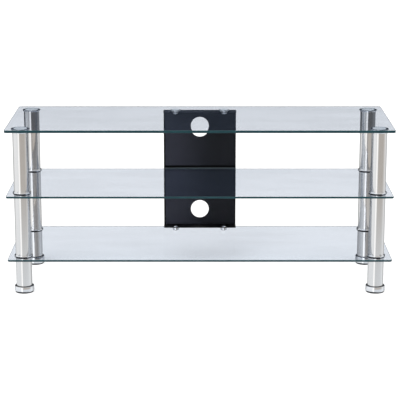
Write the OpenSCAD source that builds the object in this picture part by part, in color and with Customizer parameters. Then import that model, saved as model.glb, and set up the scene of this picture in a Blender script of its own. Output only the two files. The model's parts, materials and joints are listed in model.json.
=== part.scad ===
// Low stand of three glass shelves on four round steel posts, with a folded cable panel behind.
// Millimetres. +Z is up, the front faces -Y and the origin lies on the floor under the middle.

/* [Shelves] */
// Width of the glass shelves
shelf_w = 1200; // [800:10:1600]
// Depth of the top and bottom glass
shelf_d = 420; // [340:5:600]
// Thickness of the top glass
top_glass_t = 8; // [6:1:12]
// Thickness of the middle and bottom glass
shelf_glass_t = 6; // [5:1:10]
// Radius of the corners of the glass
glass_corner_r = 8; // [3:1:20]
// Width of the arris ground along every glass edge
arris = 0.8; // [0.4:0.1:1.5]

/* [Posts] */
// Outside diameter of the post tubes
tube_d = 50; // [40:1:52]
// Wall of the post tubes
tube_wall = 1.5; // [1:0.1:3]
// Length of the upper and lower tubes
tube_len = 195; // [120:5:400]
// Distance from the axis of a post to the glass edges beside it
post_inset = 46; // [46:1:90]
// How far the foot of a collar stands out from its tube
collar_flange = 4; // [3:0.5:5]
// Height of a collar
collar_h = 6.5; // [5:0.5:12]
// Thickness of the gaskets between glass and metal
gasket_t = 1; // [0.5:0.5:3]

/* [Studs and inserts] */
// Diameter of the threaded studs
stud_d = 10; // [8:1:12]
// Thickness of the threaded inserts in the tube ends
insert_t = 12; // [8:1:20]
// How far the inserts sit inside the tube ends
insert_depth = 5; // [4:0.5:12]
// How far a stud reaches past its insert
stud_tail = 3; // [1:1:10]
// Diameter of the stud holes in the glass
glass_hole_d = 14; // [13.5:0.5:20]
// Thickness of the discs bonded under the top glass
bond_disc_t = 4; // [3:0.5:6]

/* [Feet] */
// Height of the underside of the bottom glass above the floor
floor_gap = 109; // [80:1:200]
// Height of the chrome foot cup
cup_h = 18; // [16:1:30]
// How much narrower the cup is at its mouth
cup_taper = 2; // [0:0.5:4]
// Wall of the foot cup at its mouth
cup_wall = 2.3; // [1.5:0.1:4]
// Wall of the guide ring between the cup and the tube
ring_wall = 1.7; // [1:0.1:3]
// Height of the guide ring's lip above the cup
ring_lip_t = 1.5; // [1:0.1:3]
// Thickness of the floor of the foot cup
cup_floor_t = 4; // [3.5:0.5:6]
// Diameter of the head of the levelling screw
foot_screw_head_d = 18; // [14:1:30]
// Thickness of the head of the levelling screw
foot_screw_head_t = 1.6; // [1:0.1:2]
// Thickness of the rubber pad under the cup
pad_t = 2.5; // [2:0.5:6]
// How far each foot screws out
foot_travel = 10; // [5:1:11]

/* [Cable panel] */
// Width of the folded panel
panel_w = 240; // [180:5:400]
// Thickness of the panel's sheet
panel_t = 1.5; // [1:0.1:3]
// Length of the flanges folded forwards at its top and bottom
panel_flange = 49; // [45:1:80]
// Radius inside the panel's bends
bend_r = 2; // [1:0.5:5]
// Radius of the free corners of the flanges
flange_corner_r = 6; // [2:1:12]
// Distance from the back of the panel to the back edge of the top glass
panel_inset = 11.5; // [4:0.5:12.5]
// Diameter of the cable holes
cable_hole_d = 60; // [30:5:80]
// Distance from the panel's ends to the centres of the cable holes
cable_hole_inset = 54; // [50:1:70]
// Distance between the two fixings at each end of the panel
fixing_span = 160; // [120:5:165]
// Distance from the fixings to the back of the panel
fixing_inset = 36.5; // [30:0.5:36.5]
// Height of the bosses bonded under the top glass
upper_boss_h = 8; // [7:1:20]
// Height of the bosses bonded on the bottom glass
lower_boss_h = 10; // [7:1:20]
// Diameter of the bonded face of the upper bosses
upper_boss_d = 35; // [24:1:36]
// Diameter of the lower bosses
lower_boss_d = 21; // [14:1:26]
// Diameter of the panel screws
screw_d = 6; // [4:1:8]
// Thickness of the rim of the upper bosses
upper_rim_t = 4; // [2:0.5:4.5]
// Diameter of the domed heads of the upper panel screws
upper_head_d = 23; // [16:0.5:24]
// Height of the domed heads of the upper panel screws
upper_head_h = 7.5; // [2:0.1:8]
// Diameter of the low heads of the lower panel screws
lower_head_d = 15; // [12:0.5:18]
// Height of the low heads of the lower panel screws
lower_head_h = 3.2; // [2:0.1:5]
// Thickness of the rubber strip between the panel and the middle glass
strip_t = 2.7; // [1.5:0.1:6]
// How far the rubber strip stands above the middle glass
strip_rise = 10; // [4:1:20]

/* [Hidden] */
$fn = 96;
// Clearances between pieces, and the metal left at the blind end of a tapped hole
fit = 0.2;
seat_gap = 0.3;
thread_gap = 0.08;
blind_floor = 1;

// How far the edges of the gaskets and the pads stand back from the metal over them
gasket_setback = 0.5;
pad_setback = 2;

// Radii of the turned pieces
tube_r = tube_d / 2;
tube_bore_r = tube_r - tube_wall;
stud_r = stud_d / 2;
thread_r = stud_r + thread_gap;
collar_r = tube_r + collar_flange;
gasket_r = collar_r - gasket_setback;
ring_bore_r = tube_r + seat_gap;
ring_r = ring_bore_r + ring_wall;
cup_bore_r = ring_r + fit;
cup_mouth_r = cup_bore_r + cup_wall;
cup_r = cup_mouth_r + cup_taper / 2;
pad_r = cup_r - pad_setback;
foot_screw_head_r = foot_screw_head_d / 2;
screw_r = screw_d / 2;
screw_bore_r = screw_r + thread_gap;

// Heights of the levels, from the floor up
cup_z = pad_t;
foot_tube_z = cup_z + cup_floor_t + seat_gap;
bottom_glass_z = floor_gap;
bottom_glass_top = bottom_glass_z + shelf_glass_t;
lower_tube_z = bottom_glass_top + gasket_t;
middle_glass_z = lower_tube_z + tube_len + gasket_t;
middle_glass_top = middle_glass_z + shelf_glass_t;
upper_tube_z = middle_glass_top + gasket_t;
bond_disc_z = upper_tube_z + tube_len;
top_glass_z = bond_disc_z + bond_disc_t;
foot_tube_len = bottom_glass_z - gasket_t - foot_tube_z;
foot_screw_len = foot_tube_z - cup_z + insert_depth + insert_t + foot_travel + stud_tail;

// Places of the posts and the panel
post_x = shelf_w / 2 - post_inset;
post_y = shelf_d / 2 - post_inset;
panel_back = shelf_d / 2 - panel_inset;
panel_front = panel_back - panel_t;
panel_z = bottom_glass_top + lower_boss_h;
panel_h = top_glass_z - upper_boss_h - panel_z;
fixing_y = panel_back - fixing_inset;
middle_back = panel_front - strip_t - seat_gap;

// Each post is named for the corner that it stands at, with the signs of its X and Y
POSTS = [
    ["front_left", -1, -1],
    ["front_right", 1, -1],
    ["rear_left", -1, 1],
    ["rear_right", 1, 1],
];
POST_PIECES = [
    "upper_tube", "lower_tube", "foot_tube", "top_collar", "middle_collar", "bottom_collar",
    "foot_cup", "foot_screw", "foot_ring", "foot_pad",
];

// Places its children on one post's axis
module at_post(post) {
    translate([post[1] * post_x, post[2] * post_y, 0]) children();
}

// Places its children on all four posts' axes
module at_posts() {
    for (post = POSTS) at_post(post) children();
}

// Places its children on the axes of the two fixings at one end of the panel
module at_fixings() {
    for (side = [-1, 1]) translate([side * fixing_span / 2, fixing_y, 0]) children();
}

// Points of an arc around a centre, from one angle to another
function arc(centre, r, from, to, steps = 6) =
    [for (i = [0 : steps]) let (a = from + (to - from) * i / steps)
        centre + r * [cos(a), sin(a)]];

// Glass sheet with rounded corners and an arris along every edge, from one back edge to the front
module glass_sheet(w, front, back, t) {
    edge = [[0, 0], [glass_corner_r - arris, 0], [glass_corner_r, arris],
            [glass_corner_r, t - arris], [glass_corner_r - arris, t], [0, t]];
    run_x = w / 2 - glass_corner_r;
    run_y = (back - front) / 2 - glass_corner_r;
    translate([0, (back + front) / 2, 0]) {
        translate([-run_x, -run_y, 0]) cube([2 * run_x, 2 * run_y, t]);
        for (turn = [0 : 3]) {
            across = turn % 2 == 0 ? run_x : run_y;
            along = turn % 2 == 0 ? run_y : run_x;
            rotate(90 * turn) translate([across, along, 0]) {
                rotate([90, 0, 0]) linear_extrude(2 * along) polygon(edge);
                rotate_extrude(angle = 90) polygon(edge);
            }
        }
    }
}

// Glass shelf drilled for the four studs
module drilled_shelf(z, back) {
    color([0.75, 0.86, 0.86, 0.4]) difference() {
        translate([0, 0, z]) glass_sheet(shelf_w, -shelf_d / 2, back, shelf_glass_t);
        at_posts() translate([0, 0, z - 1]) cylinder(d = glass_hole_d, h = shelf_glass_t + 2);
    }
}

module top_glass() {
    color([0.75, 0.86, 0.86, 0.4])
        translate([0, 0, top_glass_z])
        glass_sheet(shelf_w, -shelf_d / 2, shelf_d / 2, top_glass_t);
}

module middle_glass() {
    drilled_shelf(middle_glass_z, middle_back);
}

module bottom_glass() {
    drilled_shelf(bottom_glass_z, shelf_d / 2);
}

// Post tube with its cut ends eased inside and out
module tube(z, len) {
    ease = 0.4;
    color([0.82, 0.82, 0.82]) translate([0, 0, z]) rotate_extrude() polygon([
        [tube_bore_r + ease, 0], [tube_r - ease, 0], [tube_r, ease], [tube_r, len - ease],
        [tube_r - ease, len], [tube_bore_r + ease, len], [tube_bore_r, len - ease],
        [tube_bore_r, ease],
    ]);
}

module upper_tube() {
    tube(upper_tube_z, tube_len);
}

module lower_tube() {
    tube(lower_tube_z, tube_len);
}

module foot_tube() {
    tube(foot_tube_z, foot_tube_len);
}

// Chrome collar that slides over a tube end: a flat foot, a rolled shoulder and a short neck
module collar() {
    bore = tube_r + fit;
    neck_r = bore + 1.2;
    rim_h = 1.8;
    shoulder_r = collar_r - neck_r - 0.6;
    color([0.85, 0.86, 0.88]) rotate_extrude() polygon(concat(
        [[bore, 0], [collar_r - 0.4, 0], [collar_r, 0.4], [collar_r, rim_h]],
        arc([collar_r - shoulder_r, rim_h], shoulder_r, 0, 90),
        arc([neck_r + 0.6, rim_h + shoulder_r + 0.6], 0.6, 270, 180, 3),
        [[neck_r, collar_h - 0.5], [neck_r - 0.5, collar_h], [bore, collar_h]]
    ));
}

module top_collar() {
    translate([0, 0, top_glass_z]) mirror([0, 0, 1]) collar();
}

module middle_collar() {
    translate([0, 0, upper_tube_z]) collar();
}

module bottom_collar() {
    translate([0, 0, lower_tube_z]) collar();
}

// Threaded disc pressed into a tube end, standing on its lower face
module insert() {
    ease = 0.6;
    press_r = tube_bore_r - 0.05;
    color([0.6, 0.6, 0.62]) rotate_extrude() polygon([
        [thread_r + ease, 0], [press_r - ease, 0], [press_r, ease], [press_r, insert_t - ease],
        [press_r - ease, insert_t], [thread_r + ease, insert_t], [thread_r, insert_t - ease],
        [thread_r, ease],
    ]);
}

// Both inserts of each of the four tubes that stand at one height
module tube_inserts(z, len) {
    at_posts() for (place = [insert_depth, len - insert_depth - insert_t])
        translate([0, 0, z + place]) insert();
}

module upper_tube_inserts() {
    tube_inserts(upper_tube_z, tube_len);
}

module lower_tube_inserts() {
    tube_inserts(lower_tube_z, tube_len);
}

module foot_tube_inserts() {
    tube_inserts(foot_tube_z, foot_tube_len);
}

// Threaded stud with pointed-off ends, from one height to another
module stud(from, to) {
    point = 1;
    color([0.7, 0.7, 0.72]) translate([0, 0, from]) rotate_extrude() polygon([
        [0, 0], [stud_r - point, 0], [stud_r, point], [stud_r, to - from - point],
        [stud_r - point, to - from], [0, to - from],
    ]);
}

// Four studs through a drilled shelf, each held by the insert below and the insert above
module shelf_studs(glass_z) {
    grip = insert_depth + insert_t + stud_tail;
    at_posts() stud(glass_z - gasket_t - grip, glass_z + shelf_glass_t + gasket_t + grip);
}

module bottom_glass_studs() {
    shelf_studs(bottom_glass_z);
}

module middle_glass_studs() {
    shelf_studs(middle_glass_z);
}

// Four studs that join the bonded discs to the upper tubes
module top_studs() {
    end = bond_disc_z + bond_disc_t - blind_floor - fit;
    at_posts() stud(bond_disc_z - insert_depth - insert_t - stud_tail, end);
}

// Four metal discs bonded under the top glass, tapped from below and as wide as the tubes
module bonded_discs() {
    ease = 0.4;
    blind = bond_disc_t - blind_floor;
    at_posts() color([0.7, 0.7, 0.72]) translate([0, 0, bond_disc_z]) rotate_extrude() polygon([
        [thread_r, 0], [tube_r - ease, 0], [tube_r, ease], [tube_r, bond_disc_t],
        [0, bond_disc_t], [0, blind], [thread_r, blind],
    ]);
}

// Soft washers above and below a drilled shelf: the lower one has a neck inside the glass hole
module shelf_gaskets(glass_z) {
    bore = stud_r + fit;
    neck_r = glass_hole_d / 2 - fit;
    neck_h = shelf_glass_t - fit;
    color([0.12, 0.12, 0.13]) at_posts() {
        translate([0, 0, glass_z]) rotate_extrude() polygon([
            [bore, -gasket_t], [tube_r, -gasket_t], [tube_r, 0], [neck_r, 0],
            [neck_r, neck_h], [bore, neck_h],
        ]);
        translate([0, 0, glass_z + shelf_glass_t]) rotate_extrude()
            translate([bore, 0]) square([gasket_r - bore, gasket_t]);
    }
}

module bottom_glass_gaskets() {
    shelf_gaskets(bottom_glass_z);
}

module middle_glass_gaskets() {
    shelf_gaskets(middle_glass_z);
}

// Chrome cup around the end of the foot tube, with a recess below for the head of its screw
module foot_cup() {
    foot_r = 1.2;
    lip = 0.5;
    recess_r = foot_screw_head_r + seat_gap;
    recess_h = foot_screw_head_t + fit;
    color([0.85, 0.86, 0.88]) translate([0, 0, cup_z]) rotate_extrude() polygon(concat(
        [[stud_r + fit, recess_h], [recess_r, recess_h], [recess_r, 0]],
        arc([cup_r - foot_r, foot_r], foot_r, 270, 360),
        [[cup_mouth_r, cup_h - lip], [cup_mouth_r - lip, cup_h], [cup_bore_r, cup_h],
         [cup_bore_r, cup_floor_t], [stud_r + fit, cup_floor_t]]
    ));
}

// Levelling screw: a flat head under the floor of the cup and a stud into the foot tube's insert
module foot_screw() {
    point = 1;
    color([0.7, 0.7, 0.72]) translate([0, 0, cup_z]) rotate_extrude() polygon([
        [0, 0], [foot_screw_head_r, 0], [foot_screw_head_r, foot_screw_head_t],
        [stud_r, foot_screw_head_t], [stud_r, foot_screw_len - point],
        [stud_r - point, foot_screw_len], [0, foot_screw_len],
    ]);
}

// Black ring in the mouth of the cup that guides the tube and closes the gap around it
module foot_ring() {
    ease = 0.5;
    neck_h = 6;
    lip_r = cup_mouth_r - ease;
    color([0.06, 0.06, 0.07]) translate([0, 0, cup_z + cup_h]) rotate_extrude() polygon([
        [ring_bore_r, -neck_h], [ring_r, -neck_h], [ring_r, 0], [lip_r, 0],
        [lip_r, ring_lip_t - ease], [lip_r - ease, ring_lip_t], [ring_bore_r, ring_lip_t],
    ]);
}

module foot_pad() {
    ease = 0.6;
    color([0.05, 0.05, 0.05]) rotate_extrude() polygon([
        [0, 0], [pad_r - ease, 0], [pad_r, ease], [pad_r, pad_t], [0, pad_t],
    ]);
}

// Section of the folded panel: a web and two flanges folded forwards, with round bends
module panel_section() {
    outer_r = bend_r + panel_t;
    translate([panel_back - panel_t, panel_z + outer_r]) square([panel_t, panel_h - 2 * outer_r]);
    for (end = [0, 1]) translate([0, panel_z + end * panel_h]) mirror([0, end]) {
        translate([panel_back - panel_flange, 0]) square([panel_flange - outer_r, panel_t]);
        translate([panel_back - outer_r, outer_r]) intersection() {
            difference() {
                circle(r = outer_r);
                circle(r = bend_r);
            }
            translate([0, -outer_r]) square(outer_r);
        }
    }
}

// Wedge that rounds off one free corner of a flange
module corner_trim() {
    difference() {
        translate([-1, -1, -1]) cube([flange_corner_r + 1, flange_corner_r + 1, panel_t + 2]);
        translate([flange_corner_r, flange_corner_r, -2])
            cylinder(r = flange_corner_r, h = panel_t + 4);
    }
}

module cable_panel() {
    color([0.12, 0.12, 0.14]) difference() {
        translate([-panel_w / 2, 0, 0]) rotate([90, 0, 90])
            linear_extrude(panel_w) panel_section();
        for (place = [cable_hole_inset, panel_h - cable_hole_inset])
            translate([0, panel_back + 1, panel_z + place]) rotate([90, 0, 0])
                cylinder(d = cable_hole_d, h = panel_t + 2);
        for (z = [panel_z, panel_z + panel_h - panel_t]) {
            at_fixings() translate([0, 0, z - 1]) cylinder(r = screw_r + fit, h = panel_t + 2);
            for (side = [0, 1]) mirror([side, 0, 0])
                translate([-panel_w / 2, panel_back - panel_flange, z]) corner_trim();
        }
    }
}

// Bosses bonded under the top glass: a wide bonded rim, a cove and a neck down to the flange
module upper_bosses() {
    rim_r = upper_boss_d / 2;
    rim_h = upper_boss_h - upper_rim_t;
    neck_r = min(upper_head_d / 2 + 1, rim_r - 2);
    cove_r = min(rim_r - neck_r - 1, rim_h - 1);
    neck_h = rim_h - cove_r;
    bore_h = upper_boss_h - blind_floor;
    at_fixings() color([0.8, 0.8, 0.82]) translate([0, 0, top_glass_z - upper_boss_h])
        rotate_extrude() polygon(concat(
            [[screw_bore_r, 0], [neck_r, 0]],
            arc([neck_r + cove_r, neck_h], cove_r, 180, 90),
            [[rim_r, rim_h], [rim_r, upper_boss_h], [0, upper_boss_h],
             [0, bore_h], [screw_bore_r, bore_h]]
        ));
}

// Bosses bonded on the bottom glass: plain turned drums
module lower_bosses() {
    ease = 0.8;
    boss_r = lower_boss_d / 2;
    at_fixings() color([0.8, 0.8, 0.82]) translate([0, 0, bottom_glass_top])
        rotate_extrude() polygon([
            [0, 0], [boss_r - ease, 0], [boss_r, ease], [boss_r, lower_boss_h - ease],
            [boss_r - ease, lower_boss_h], [screw_bore_r, lower_boss_h],
            [screw_bore_r, blind_floor], [0, blind_floor],
        ]);
}

// Round-headed screw with a hexagon socket, its head down and its shank up from height zero
module panel_screw(boss_h, head_r, head_h) {
    dome_r = (head_r * head_r + head_h * head_h) / (2 * head_h);
    span = asin(head_r / dome_r);
    shank = panel_t + boss_h - blind_floor - fit;
    socket_d = 4.6;
    socket_h = 1.6;
    color([0.75, 0.75, 0.77]) difference() {
        rotate_extrude() polygon(concat(
            [[0, shank], [screw_r - 0.5, shank], [screw_r, shank - 0.5], [screw_r, 0]],
            [for (p = arc([0, dome_r - head_h], dome_r, 270 + span, 270, 8))
                [max(p[0], 0), p[1]]]
        ));
        translate([0, 0, -head_h - 1]) cylinder(d = socket_d, h = socket_h + 1, $fn = 6);
    }
}

module upper_screws() {
    at_fixings() translate([0, 0, top_glass_z - upper_boss_h - panel_t])
        panel_screw(upper_boss_h, upper_head_d / 2, upper_head_h);
}

module lower_screws() {
    at_fixings() translate([0, 0, panel_z + panel_t]) mirror([0, 0, 1])
        panel_screw(lower_boss_h, lower_head_d / 2, lower_head_h);
}

// Rubber strip stuck to the panel, which the back edge of the middle glass stops against
module glass_strip() {
    ease = 0.5;
    strip_h = shelf_glass_t + strip_rise;
    color([0.03, 0.03, 0.03]) translate([-panel_w / 2, 0, middle_glass_z]) rotate([90, 0, 90])
        linear_extrude(panel_w) polygon([
            [panel_front, 0], [panel_front, strip_h], [panel_front - strip_t + ease, strip_h],
            [panel_front - strip_t, strip_h - ease], [panel_front - strip_t, ease],
            [panel_front - strip_t + ease, 0],
        ]);
}

top_glass();
middle_glass();
bottom_glass();
for (post = POSTS) {
    at_post(post) upper_tube();
    at_post(post) lower_tube();
    at_post(post) foot_tube();
    at_post(post) top_collar();
    at_post(post) middle_collar();
    at_post(post) bottom_collar();
    at_post(post) foot_cup();
    at_post(post) foot_screw();
    at_post(post) foot_ring();
    at_post(post) foot_pad();
}
upper_tube_inserts();
lower_tube_inserts();
foot_tube_inserts();
bottom_glass_gaskets();
middle_glass_gaskets();
bonded_discs();
bottom_glass_studs();
middle_glass_studs();
top_studs();
cable_panel();
upper_bosses();
lower_bosses();
upper_screws();
lower_screws();
glass_strip();
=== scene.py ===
"""Looks of a low media stand: three glass shelves, four steel posts on levelling feet, and
a folded cable panel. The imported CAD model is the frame, and every new piece follows its
sizes."""

import json
import logging
import math
from dataclasses import dataclass
from enum import Enum
from typing import Any, ClassVar, Mapping, Sequence, Union

import bpy
import numpy as np
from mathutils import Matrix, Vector
from numpy.typing import NDArray

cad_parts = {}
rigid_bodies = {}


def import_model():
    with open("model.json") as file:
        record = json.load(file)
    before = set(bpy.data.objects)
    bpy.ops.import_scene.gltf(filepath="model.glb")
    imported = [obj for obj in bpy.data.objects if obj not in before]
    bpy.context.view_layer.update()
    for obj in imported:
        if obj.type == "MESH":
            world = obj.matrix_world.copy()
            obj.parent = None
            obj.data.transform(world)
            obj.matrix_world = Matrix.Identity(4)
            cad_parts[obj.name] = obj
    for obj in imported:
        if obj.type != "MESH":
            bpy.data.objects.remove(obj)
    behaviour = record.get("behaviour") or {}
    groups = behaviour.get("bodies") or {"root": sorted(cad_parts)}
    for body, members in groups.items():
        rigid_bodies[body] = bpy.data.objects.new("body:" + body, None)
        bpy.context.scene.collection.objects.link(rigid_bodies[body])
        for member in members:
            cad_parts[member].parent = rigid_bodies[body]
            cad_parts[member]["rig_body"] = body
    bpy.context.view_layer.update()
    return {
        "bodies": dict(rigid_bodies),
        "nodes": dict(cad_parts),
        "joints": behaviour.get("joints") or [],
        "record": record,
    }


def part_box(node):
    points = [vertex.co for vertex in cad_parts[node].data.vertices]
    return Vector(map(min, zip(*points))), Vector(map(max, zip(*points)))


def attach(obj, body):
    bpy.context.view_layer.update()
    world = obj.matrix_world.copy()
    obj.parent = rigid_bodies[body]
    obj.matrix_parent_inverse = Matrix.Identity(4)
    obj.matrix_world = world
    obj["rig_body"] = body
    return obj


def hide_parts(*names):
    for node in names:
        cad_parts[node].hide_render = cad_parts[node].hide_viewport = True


Grid = NDArray[np.float64]
Node = bpy.types.Node
Triple = tuple[float, float, float]
Colour = Triple
Pair = tuple[float, float]
Value = Union["Term", float]
Tone = Union["Term", Colour]
Key = Union[str, int]
Named = Union[Mapping[Key, Any], None]
Rows = Sequence[Triple]

MILLIMETRE = 0.001
# Glue between a glass and what is bonded to it, in millimetres
GLUE_LINE = 0.1
# Fall of a bonded rim for each millimetre outwards
RIM_SLOPE = 0.29
# Points closer than this are one point, in millimetres
SAME_PLACE = 1e-7
# Points round a turned piece, and along each rounded corner of its profile
COLUMNS = 120
ARC_STEPS = 7
# Bends sharper than this many degrees keep their edge
SHARP_BEND = 32.0
# The stretch of a noise's values over which a mottle turns
MOTTLE = (0.3, 0.7)
WHITE = (1.0, 1.0, 1.0)
log = logging.getLogger("stand")


class Corner(Enum):
    """The corner of the stand at which a post stands."""

    FRONT_LEFT = "front_left"
    FRONT_RIGHT = "front_right"
    REAR_LEFT = "rear_left"
    REAR_RIGHT = "rear_right"


class Level(Enum):
    """The shelf that a collar stands on or hangs from."""

    TOP = "top"
    MIDDLE = "middle"
    BOTTOM = "bottom"


class Part(Enum):
    """The part of a post that a tube makes."""

    UPPER = "upper"
    LOWER = "lower"
    FOOT = "foot"


# ---- shader graphs


class Term:
    """A value in a node graph, with the arithmetic that the finishes use."""

    def __init__(self, graph: "Graph", socket: bpy.types.NodeSocket) -> None:
        """Wraps one output socket of a graph."""
        self.graph = graph
        self.socket = socket

    def _math(self, operation: str, *values: Value) -> "Term":
        """One Math node on these values, in their order."""
        inputs = dict(enumerate(values))
        return self.graph.term("Math", inputs, {"operation": operation})

    def __add__(self, other: Value) -> "Term":
        """Sum."""
        return self._math("ADD", self, other)

    def __radd__(self, other: float) -> "Term":
        """Sum with a number on the left."""
        return self._math("ADD", other, self)

    def __sub__(self, other: Value) -> "Term":
        """Difference."""
        return self._math("SUBTRACT", self, other)

    def __rsub__(self, other: float) -> "Term":
        """Difference from a number on the left."""
        return self._math("SUBTRACT", other, self)

    def __mul__(self, other: Value) -> "Term":
        """Product."""
        return self._math("MULTIPLY", self, other)

    def __rmul__(self, other: float) -> "Term":
        """Product with a number on the left."""
        return self._math("MULTIPLY", other, self)

    def __truediv__(self, other: Value) -> "Term":
        """Quotient."""
        return self._math("DIVIDE", self, other)

    def __pow__(self, other: Value) -> "Term":
        """Power."""
        return self._math("POWER", self, other)

    def __abs__(self) -> "Term":
        """Absolute value."""
        return self._math("ABSOLUTE", self)

    def at_most(self, other: Value) -> "Term":
        """The smaller of two values."""
        return self._math("MINIMUM", self, other)

    def angle_from(self, other: "Term") -> "Term":
        """The angle whose sine goes with this value and whose cosine with the other."""
        return self._math("ARCTAN2", self, other)

    def ease(self, low: float, high: float, start: float = 0.0, end: float = 1.0) -> "Term":
        """Goes smoothly from start, where this value is low, to end, where it is high.

        Args:
            low: value at which the change begins.
            high: value at which it is complete.
            start: result below low.
            end: result above high.

        Returns:
            The eased value.
        """
        ends = {"From Min": low, "From Max": high, "To Min": start, "To Max": end}
        smooth = {"interpolation_type": "SMOOTHSTEP"}
        return self.graph.term("MapRange", {"Value": self} | ends, smooth)

    def fade(self, low: float, high: float) -> "Term":
        """Goes smoothly from 1, where this value is low, to 0, where it is high."""
        return self.ease(low, high, 1.0, 0.0)


def scaled(colour: Colour, share: float) -> Colour:
    """A colour times a share."""
    return tuple(share * c for c in colour)


class Graph:
    """Adds nodes to one node tree, which it empties first."""

    def __init__(self, tree: bpy.types.NodeTree) -> None:
        """Takes over a node tree."""
        self.tree = tree
        tree.nodes.clear()

    def add(self, kind: str, inputs: Named = None, settings: Named = None) -> Node:
        """Adds a node, gives it its settings and then its sockets' values or links.

        Args:
            kind: Blender's name for the node type, without its ShaderNode.
            inputs: values, terms or sockets by input name or number.
            settings: the node's own properties; stops are a ramp's positions and colours.

        Returns:
            The new node.
        """
        node = self.tree.nodes.new(f"ShaderNode{kind}")
        for name, setting in (settings or {}).items():
            if name == "stops":
                self._set_stops(node.color_ramp, setting)
            else:
                setattr(node, name, setting)
        for name, value in (inputs or {}).items():
            value = value.socket if isinstance(value, Term) else value
            if isinstance(value, bpy.types.NodeSocket):
                self.tree.links.new(value, node.inputs[name])
            else:
                node.inputs[name].default_value = value
        return node

    def term(
        self, kind: str, inputs: Named = None, settings: Named = None, output: Key = 0
    ) -> Term:
        """Adds a node and returns its output of this name or number as a term."""
        return Term(self, self.add(kind, inputs, settings).outputs[output])

    @staticmethod
    def _set_stops(ramp: bpy.types.ColorRamp, stops: Sequence[tuple[float, Colour]]) -> None:
        """Gives a ramp its stops.

        Args:
            ramp: the ramp of a Color Ramp node.
            stops: positions from 0 to 1 with linear colours, in rising order.
        """
        while len(ramp.elements) < len(stops):
            ramp.elements.new(0.5)
        for element, (position, colour) in zip(ramp.elements, stops):
            element.position = position
            element.color = (*colour, 1.0)

    def mixed(self, share: Value, first: Tone, second: Tone) -> Term:
        """A colour that goes from the first to the second as share goes from 0 to 1."""
        inputs = {0: share, 6: self.tone(first), 7: self.tone(second)}
        return self.term("Mix", inputs, {"data_type": "RGBA"}, 2)

    @staticmethod
    def tone(colour: Tone) -> Union[Term, tuple[float, ...]]:
        """A colour as a socket takes it: a term as it is, or a colour with its alpha."""
        return colour if isinstance(colour, Term) else (*colour, 1.0)

    def mottled(
        self, pattern: Term, reach: Pair, colour: Colour, low: float = 1.0, high: float = 1.0
    ) -> Term:
        """A colour times low where a pattern is low, and times high where it is high."""
        return self.mixed(pattern.ease(*reach), scaled(colour, low), scaled(colour, high))

    def place(self, scale: Sequence[float] = (1.0, 1.0, 1.0)) -> Term:
        """Object coordinates in metres, stretched by scale along X, Y and Z."""
        place = self.term("TexCoord", output="Object")
        return self.term("Mapping", {"Vector": place, "Scale": scale})

    def axis(self, vector: Term, letter: str) -> Term:
        """One axis of a vector."""
        return self.term("SeparateXYZ", {0: vector}, output=letter)

    def upward(self) -> Term:
        """How far up the surface faces: 1 straight up and -1 straight down."""
        return self.axis(self.term("TexCoord", output="Normal"), "Z")

    def ray(self, name: str) -> Term:
        """What the light path says of the ray under this name."""
        return self.term("LightPath", output=name)

    def noise(self, place: Term, scale: float, detail: float = 2.0) -> Term:
        """Noise from 0 to 1 whose grains are about 1 / scale metres wide."""
        inputs = {"Vector": place, "Scale": scale, "Detail": detail}
        return self.term("TexNoise", inputs)

    def bump(self, height: Term, strength: float, depth: float) -> Term:
        """A normal bent by a height from 0 to 1 that stands for depth in metres."""
        inputs = {"Height": height, "Strength": strength, "Distance": depth}
        return self.term("Bump", inputs)

    def coat(
        self, colour: Tone, roughness: Value, normal: Term | None = None,
        metal: float = 0.0, gloss: float = 0.5, bend: float = 1.5,
    ) -> Node:
        """A Principled shader.

        Args:
            colour: base colour.
            roughness: from 0 to 1.
            normal: a bent normal, or none for the surface's own.
            metal: 1 for metal, 0 for anything else.
            gloss: strength of the mirror image off metal, 0.5 as a rule.
            bend: index of refraction.

        Returns:
            The shader node.
        """
        inputs = {"Base Color": self.tone(colour), "Roughness": roughness, "Metallic": metal}
        inputs |= {"Specular IOR Level": gloss, "IOR": bend}
        if normal is not None:
            inputs["Normal"] = normal
        return self.add("BsdfPrincipled", inputs)

    def blend(self, share: Value, first: Node, second: Node) -> Node:
        """A shader that goes from the first to the second as share goes from 0 to 1."""
        inputs = {0: share, 1: first.outputs[0], 2: second.outputs[0]}
        return self.add("MixShader", inputs)

    def show(self, shader: Node, kind: str) -> None:
        """Leads a shader to the tree's output node of this kind."""
        self.add(kind, {"Surface": shader.outputs[0]})


# ---- finishes


@dataclass(frozen=True)
class Finish:
    """A surface finish. Each kind of finish describes its own shader graph. The sizes of
    patterns are grains per metre, bumps are a strength and a depth in metres."""

    name: str

    def material(self) -> bpy.types.Material:
        """Makes the material once and returns it each time after that.

        Returns:
            The Blender material.
        """
        made = bpy.data.materials.get(self.name)
        if made is None:
            made = bpy.data.materials.new(self.name)
            made.use_nodes = True
            graph = Graph(made.node_tree)
            graph.show(self.shader(graph), "OutputMaterial")
        return made

    def shader(self, graph: Graph) -> Node:
        """The finish's shader node."""
        raise NotImplementedError


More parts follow.
